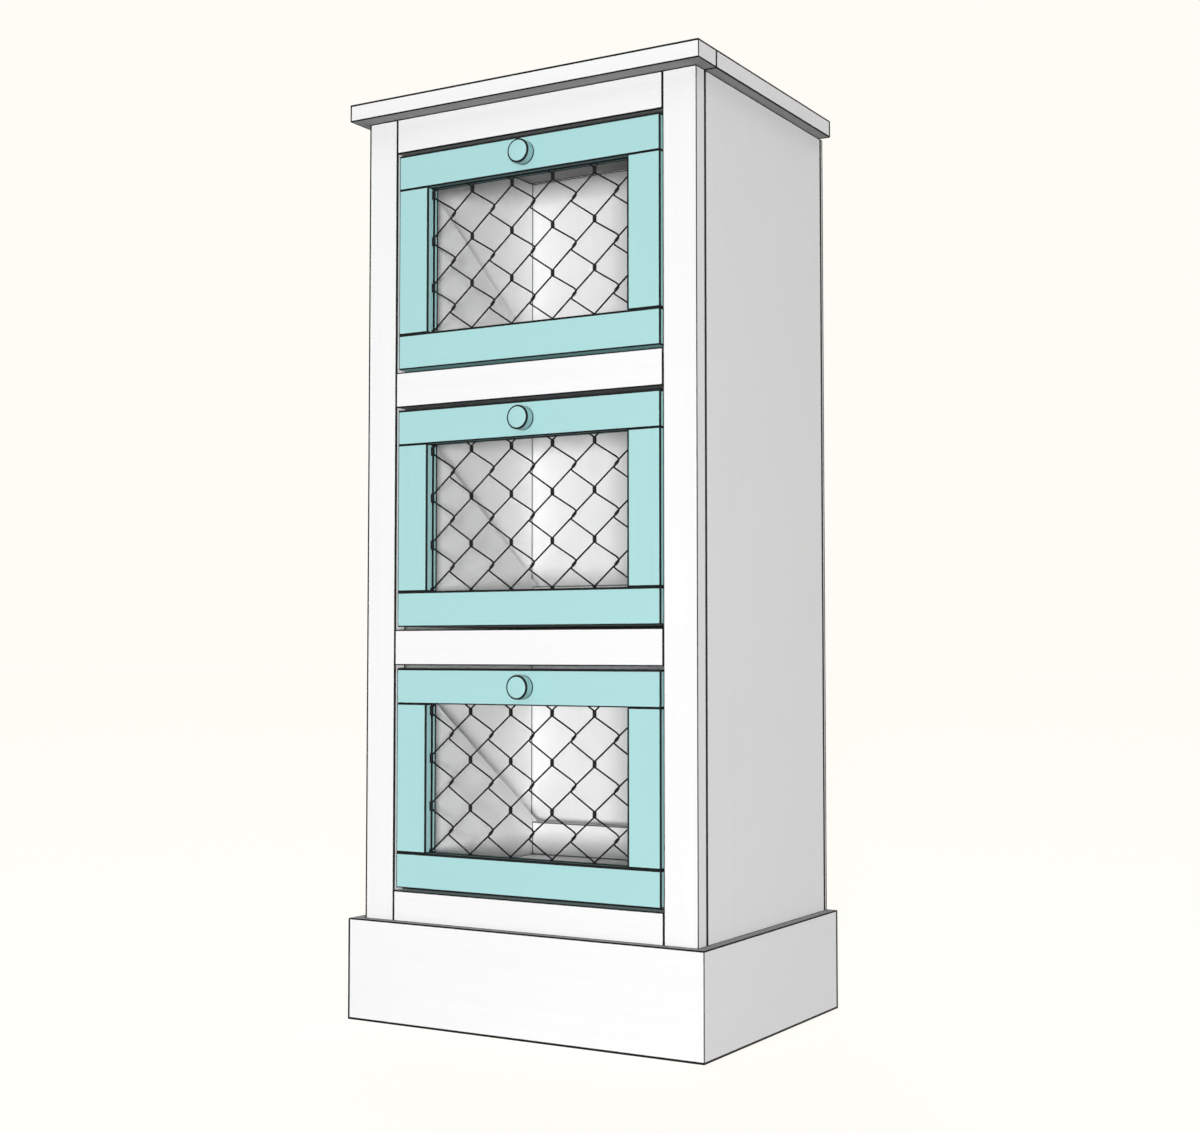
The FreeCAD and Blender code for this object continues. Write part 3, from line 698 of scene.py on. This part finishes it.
def twist():
    """The corners of a wire that winds round its neighbour, going up."""
    corners = []
    for degrees in range(TWIST_START, TWIST_END + 1, TWIST_STEP):
        share = (degrees - TWIST_START) / (TWIST_END - TWIST_START)
        across = math.cos(math.radians(degrees)) * TWIST_ACROSS
        deep = math.sin(math.radians(degrees)) * LAYER
        corners.append(Vector((across, deep, (share - 0.5) * TWIST_HEIGHT)))
    return corners


def knot(station, level, hooks_right):
    """The corners of a wire at one knot, going up; a wire that hooks right is on its left."""
    if station % 2 == 0:
        corners = twist()
        if not hooks_right:
            corners = [Vector((-corner.x, corner.y, -corner.z)) for corner in reversed(corners)]
    else:
        rows = LEFT_SLOPE if hooks_right else RIGHT_SLOPE
        corners = [Vector((across * MM, layer * LAYER, up * MM)) for across, layer, up in rows]
    middle = Vector((station * PITCH, 0, level * PITCH))
    return [middle + corner for corner in corners]


def zigzag(column, levels):
    """The corners of the wire between two columns of knots, from the bottom up."""
    corners = []
    for level in levels:
        hooks_right = (column + level) % 2 == 1
        corners += knot(column + 1 if hooks_right else column, level, hooks_right)
    return corners


print("a twist has", len(twist()), "corners and a slope", len(LEFT_SLOPE), "or", len(RIGHT_SLOPE))

# %% [markdown]
# A path is drawn by extruding one vertex from corner to corner. The plane primitive merged
# at its centre gives that first vertex. Even and odd columns differ in which level hooks to
# which side, so two wires are drawn, and the rest are copies shifted by two columns. One knot
# is placed from the middle of the cabinet and the foot of the door, and the others are
# counted from it. They reach past the panel on every side, and are trimmed later.

# %% Two wires and their copies
FIRST_COLUMN, LAST_COLUMN = -7, 4
LEVELS = range(-1, 9)
KNOT_ACROSS = 29.6 * MM
KNOT_UP = 36.8 * MM
door_low = {name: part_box(f"door_bottom_rail_{name}")[0].z for name in BINS}
mesh_middle = sum(corner.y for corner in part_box("wire_mesh_bottom")) / 2


def pick(*pieces):
    """Selects these pieces alone, with the first one active."""
    bpy.ops.object.select_all(action="DESELECT")
    for piece in pieces:
        piece.select_set(True)
    bpy.context.view_layer.objects.active = pieces[0]


def draw_path(name, corners):
    """A line of edges through the corners, drawn by extruding one vertex."""
    bpy.ops.mesh.primitive_plane_add(size=PITCH, location=corners[0])
    line = bpy.context.active_object
    line.name = name
    bpy.ops.object.transform_apply(location=True)
    bpy.ops.object.mode_set(mode="EDIT")
    bpy.ops.mesh.select_all(action="SELECT")
    bpy.ops.mesh.merge(type="CENTER")
    for before, after in zip(corners, corners[1:]):
        bpy.ops.mesh.extrude_region_move(TRANSFORM_OT_translate={"value": after - before})
    bpy.ops.object.mode_set(mode="OBJECT")
    return line


def copy_of(piece, name, shift):
    """A copy with its own mesh, moved, with its place kept in the mesh."""
    twin = piece.copy()
    twin.data = piece.data.copy()
    twin.name = name
    bpy.context.scene.collection.objects.link(twin)
    twin.location = shift
    pick(twin)
    bpy.ops.object.transform_apply(location=True)
    return twin


origin = Vector((KNOT_ACROSS, mesh_middle, door_low["bottom"] + KNOT_UP))
lines = []
for start in (FIRST_COLUMN, FIRST_COLUMN + 1):
    corners = [origin + corner for corner in zigzag(start, LEVELS)]
    first = draw_path(f"wire_line_{start - FIRST_COLUMN}", corners)
    lines.append(first)
    for shift in range(2, LAST_COLUMN - start + 1, 2):
        number = start + shift - FIRST_COLUMN
        lines.append(copy_of(first, f"wire_line_{number}", (shift * PITCH, 0, 0)))
print("wires drawn:", len(lines))

# %% [markdown]
# All the lines become one object, which is cut at the four sides of the panel, where the
# door's rabbet ends. The corners that have room on both sides are then rounded with a vertex
# bevel, and the close ones of a twist are smooth enough as they are. As a curve the lines
# get a round section and closed ends, and as a mesh again they are wires.

# %% The mesh of the lowest door
BEND = 1.05 * MM
BEND_STEPS = 4
SECTION_STEPS = 3


def joined(pieces, name):
    """One object made of several."""
    pick(*pieces)
    bpy.ops.object.join()
    pieces[0].name = name
    return pieces[0]


def trim(piece, side, outward):
    """Cuts off what lies beyond a plane."""
    pick(piece)
    bpy.ops.object.mode_set(mode="EDIT")
    bpy.ops.mesh.select_all(action="SELECT")
    bpy.ops.mesh.bisect(plane_co=side, plane_no=outward, clear_outer=True)
    bpy.ops.object.mode_set(mode="OBJECT")


def round_wire(piece):
    """Rounds the corners of the lines and gives them the wire's thickness."""
    pick(piece)
    bpy.ops.object.mode_set(mode="EDIT")
    bpy.ops.mesh.select_mode(type="VERT")
    bpy.ops.mesh.select_all(action="DESELECT")
    bpy.ops.object.mode_set(mode="OBJECT")
    points = piece.data.vertices
    room = [math.inf] * len(points)
    runs = [0] * len(points)
    for edge in piece.data.edges:
        length = (points[edge.vertices[0]].co - points[edge.vertices[1]].co).length
        for index in edge.vertices:
            room[index] = min(room[index], length)
            runs[index] += 1
    for index, point in enumerate(points):
        point.select = runs[index] == 2 and room[index] > 2 * BEND
    bpy.ops.object.mode_set(mode="EDIT")
    bpy.ops.mesh.bevel(offset=BEND, segments=BEND_STEPS, affect="VERTICES", clamp_overlap=True)
    bpy.ops.object.mode_set(mode="OBJECT")
    bpy.ops.object.convert(target="CURVE")
    piece.data.bevel_depth = WIRE / 2
    piece.data.bevel_resolution = SECTION_STEPS
    piece.data.use_fill_caps = True
    bpy.ops.object.convert(target="MESH")
    bpy.ops.object.shade_smooth()


panel_low, panel_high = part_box("wire_mesh_bottom")
mesh_bottom = joined(lines, "chain_link_bottom")
for side, outward in (
    (panel_low, (-1, 0, 0)),
    (panel_low, (0, 0, -1)),
    (panel_high, (1, 0, 0)),
    (panel_high, (0, 0, 1)),
):
    trim(mesh_bottom, side - Vector(outward) * WIRE / 2, outward)
round_wire(mesh_bottom)
dress(mesh_bottom, wire_finish)
print("the mesh has", len(mesh_bottom.data.polygons), "faces")

# %% [markdown]
# The other two doors have the same panel, one door higher each. Each mesh rides on its bin
# and stands for the plain wires that the frame holds.

# %% The meshes on their doors
meshes = {"bottom": mesh_bottom}
for name in BINS[1:]:
    rise = door_low[name] - door_low["bottom"]
    meshes[name] = copy_of(mesh_bottom, f"chain_link_{name}", (0, 0, rise))
for name, piece in meshes.items():
    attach(piece, f"bin_{name}")
    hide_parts(f"wire_mesh_{name}")
print("meshes:", [piece.name for piece in meshes.values()])

# %% [markdown]
# The knob is a short plain cylinder, turned from wood and painted like the door. Its strokes
# run round it, and its dark lines lie along two circles: a fine one round the rim, and a wider
# one at the foot, where it meets the door. The side is painted a little darker than the face,
# as a painted shade.

# %% The knob's finish
RIM_LINE = 1.8 * MM
FOOT_LINE = 2.6 * MM
SIDE_NORMAL = 0.5
PAINTED_SIDE_SHADE = 0.70
TURNED_GRAIN = ACROSS_GRAIN / 4


def knob_paint(node):
    """Teal paint on a turned knob, with dark lines round its rim and its foot, and painted shade
    on its side.
    """
    finish, tree, shader = new_finish(f"paint_{node}")
    low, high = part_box(node)
    place = tree.nodes.new("ShaderNodeTexCoord")
    spot = axes(tree, place.outputs["Object"])
    across = maths(tree, "SUBTRACT", spot[0], (low.x + high.x) / 2)
    up = maths(tree, "SUBTRACT", spot[2], (low.z + high.z) / 2)
    across_squared = maths(tree, "MULTIPLY", across, across)
    up_squared = maths(tree, "MULTIPLY", up, up)
    from_axis = maths(tree, "SQRT", maths(tree, "ADD", across_squared, up_squared))
    near_side = maths(tree, "GREATER_THAN", from_axis, (high.x - low.x) / 2 - RIM_LINE)
    near_front = maths(tree, "LESS_THAN", spot[1], low.y + RIM_LINE)
    near_foot = maths(tree, "GREATER_THAN", spot[1], high.y - FOOT_LINE)
    line = maths(tree, "MULTIPLY", near_side, maths(tree, "MAXIMUM", near_front, near_foot))
    rings = (TURNED_GRAIN, ACROSS_GRAIN, TURNED_GRAIN)
    coat = use_group(tree, brushed_paint, Paint=TEAL, Stretch=rings, Dullness=PAINT_DULLNESS)
    facing = axes(tree, place.outputs["Normal"])
    # Painted shade: where the normal turns away from the front, the knob's side is darker.
    knob_side = maths(tree, "LESS_THAN", maths(tree, "ABSOLUTE", facing[1]), SIDE_NORMAL)
    shaded_side = [shade * PAINTED_SIDE_SHADE for shade in TEAL[:3]] + [1]
    colour = blend_colours(tree, knob_side, coat.outputs["Colour"], shaded_side)
    colour = blend_colours(tree, line, colour, DARK_LINE)
    wire_up(tree, colour, shader.inputs["Base Color"])
    wire_up(tree, coat.outputs["Roughness"], shader.inputs["Roughness"])
    shader.inputs["Specular IOR Level"].default_value = PAINT_SHINE
    raise_surface(tree, shader, coat.outputs["Height"], RELIEF_DEPTH)
    return finish


print("the knob's lines are", RIM_LINE / MM, "and", FOOT_LINE / MM, "mm wide")

# %% [markdown]
# The knob starts as a cylinder that lies on its side. The face at its back is inset and
# pushed in for the screw. A bevel rounds the rims, because a sharp painted rim would wear
# through at once, and the shading is smooth all round.

# %% The knob of the lowest door
KNOB_SIDES = 64
RIM = 0.7 * MM
RIM_STEPS = 4
RIM_ANGLE = 50
SMOOTH_ANGLE = 35
SCREW_HOLE = 4.2 * MM
SCREW_DEPTH = 8.0 * MM


def turned_knob(name, node):
    """A knob in the place of the frame's own."""
    low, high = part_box(node)
    bpy.ops.mesh.primitive_cylinder_add(
        vertices=KNOB_SIDES,
        radius=(high.x - low.x) / 2,
        depth=high.y - low.y,
        location=(low + high) / 2,
        rotation=(math.pi / 2, 0, 0),
    )
    piece = bpy.context.active_object
    piece.name = name
    bpy.ops.object.transform_apply(location=True, rotation=True)
    bpy.ops.object.mode_set(mode="EDIT")
    bpy.ops.mesh.select_all(action="DESELECT")
    bpy.ops.object.mode_set(mode="OBJECT")
    back = max(piece.data.polygons, key=lambda face: face.center.y)
    back.select = True
    bpy.ops.object.mode_set(mode="EDIT")
    bpy.ops.mesh.select_mode(type="FACE")
    bpy.ops.mesh.inset(thickness=(high.x - low.x - SCREW_HOLE) / 2)
    bpy.ops.mesh.extrude_region_move(TRANSFORM_OT_translate={"value": (0, -SCREW_DEPTH, 0)})
    bpy.ops.mesh.select_all(action="SELECT")
    bpy.ops.mesh.normals_make_consistent(inside=False)
    bpy.ops.object.mode_set(mode="OBJECT")
    rounding = piece.modifiers.new("rims", "BEVEL")
    rounding.width = RIM
    rounding.segments = RIM_STEPS
    rounding.limit_method = "ANGLE"
    rounding.angle_limit = math.radians(RIM_ANGLE)
    bpy.ops.object.modifier_apply(modifier="rims")
    bpy.ops.object.shade_smooth_by_angle(angle=math.radians(SMOOTH_ANGLE))
    return piece


knob_bottom = turned_knob("round_knob_bottom", "knob_bottom")
print("the knob has", len(knob_bottom.data.polygons), "faces")

# %% [markdown]
# The other knobs are copies, one door higher each. Every knob rides on its own bin, and the
# lines of its paint are measured from its own place.

# %% The knobs on their doors
knobs = {"bottom": knob_bottom}
for name in BINS[1:]:
    rise = door_low[name] - door_low["bottom"]
    knobs[name] = copy_of(knob_bottom, f"round_knob_{name}", (0, 0, rise))
for name, piece in knobs.items():
    dress(piece, knob_paint(f"knob_{name}"))
    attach(piece, f"bin_{name}")
    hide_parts(f"knob_{name}")
print("knobs:", [piece.name for piece in knobs.values()])

# %% [markdown]

# %% The end
print("the scene is set up")
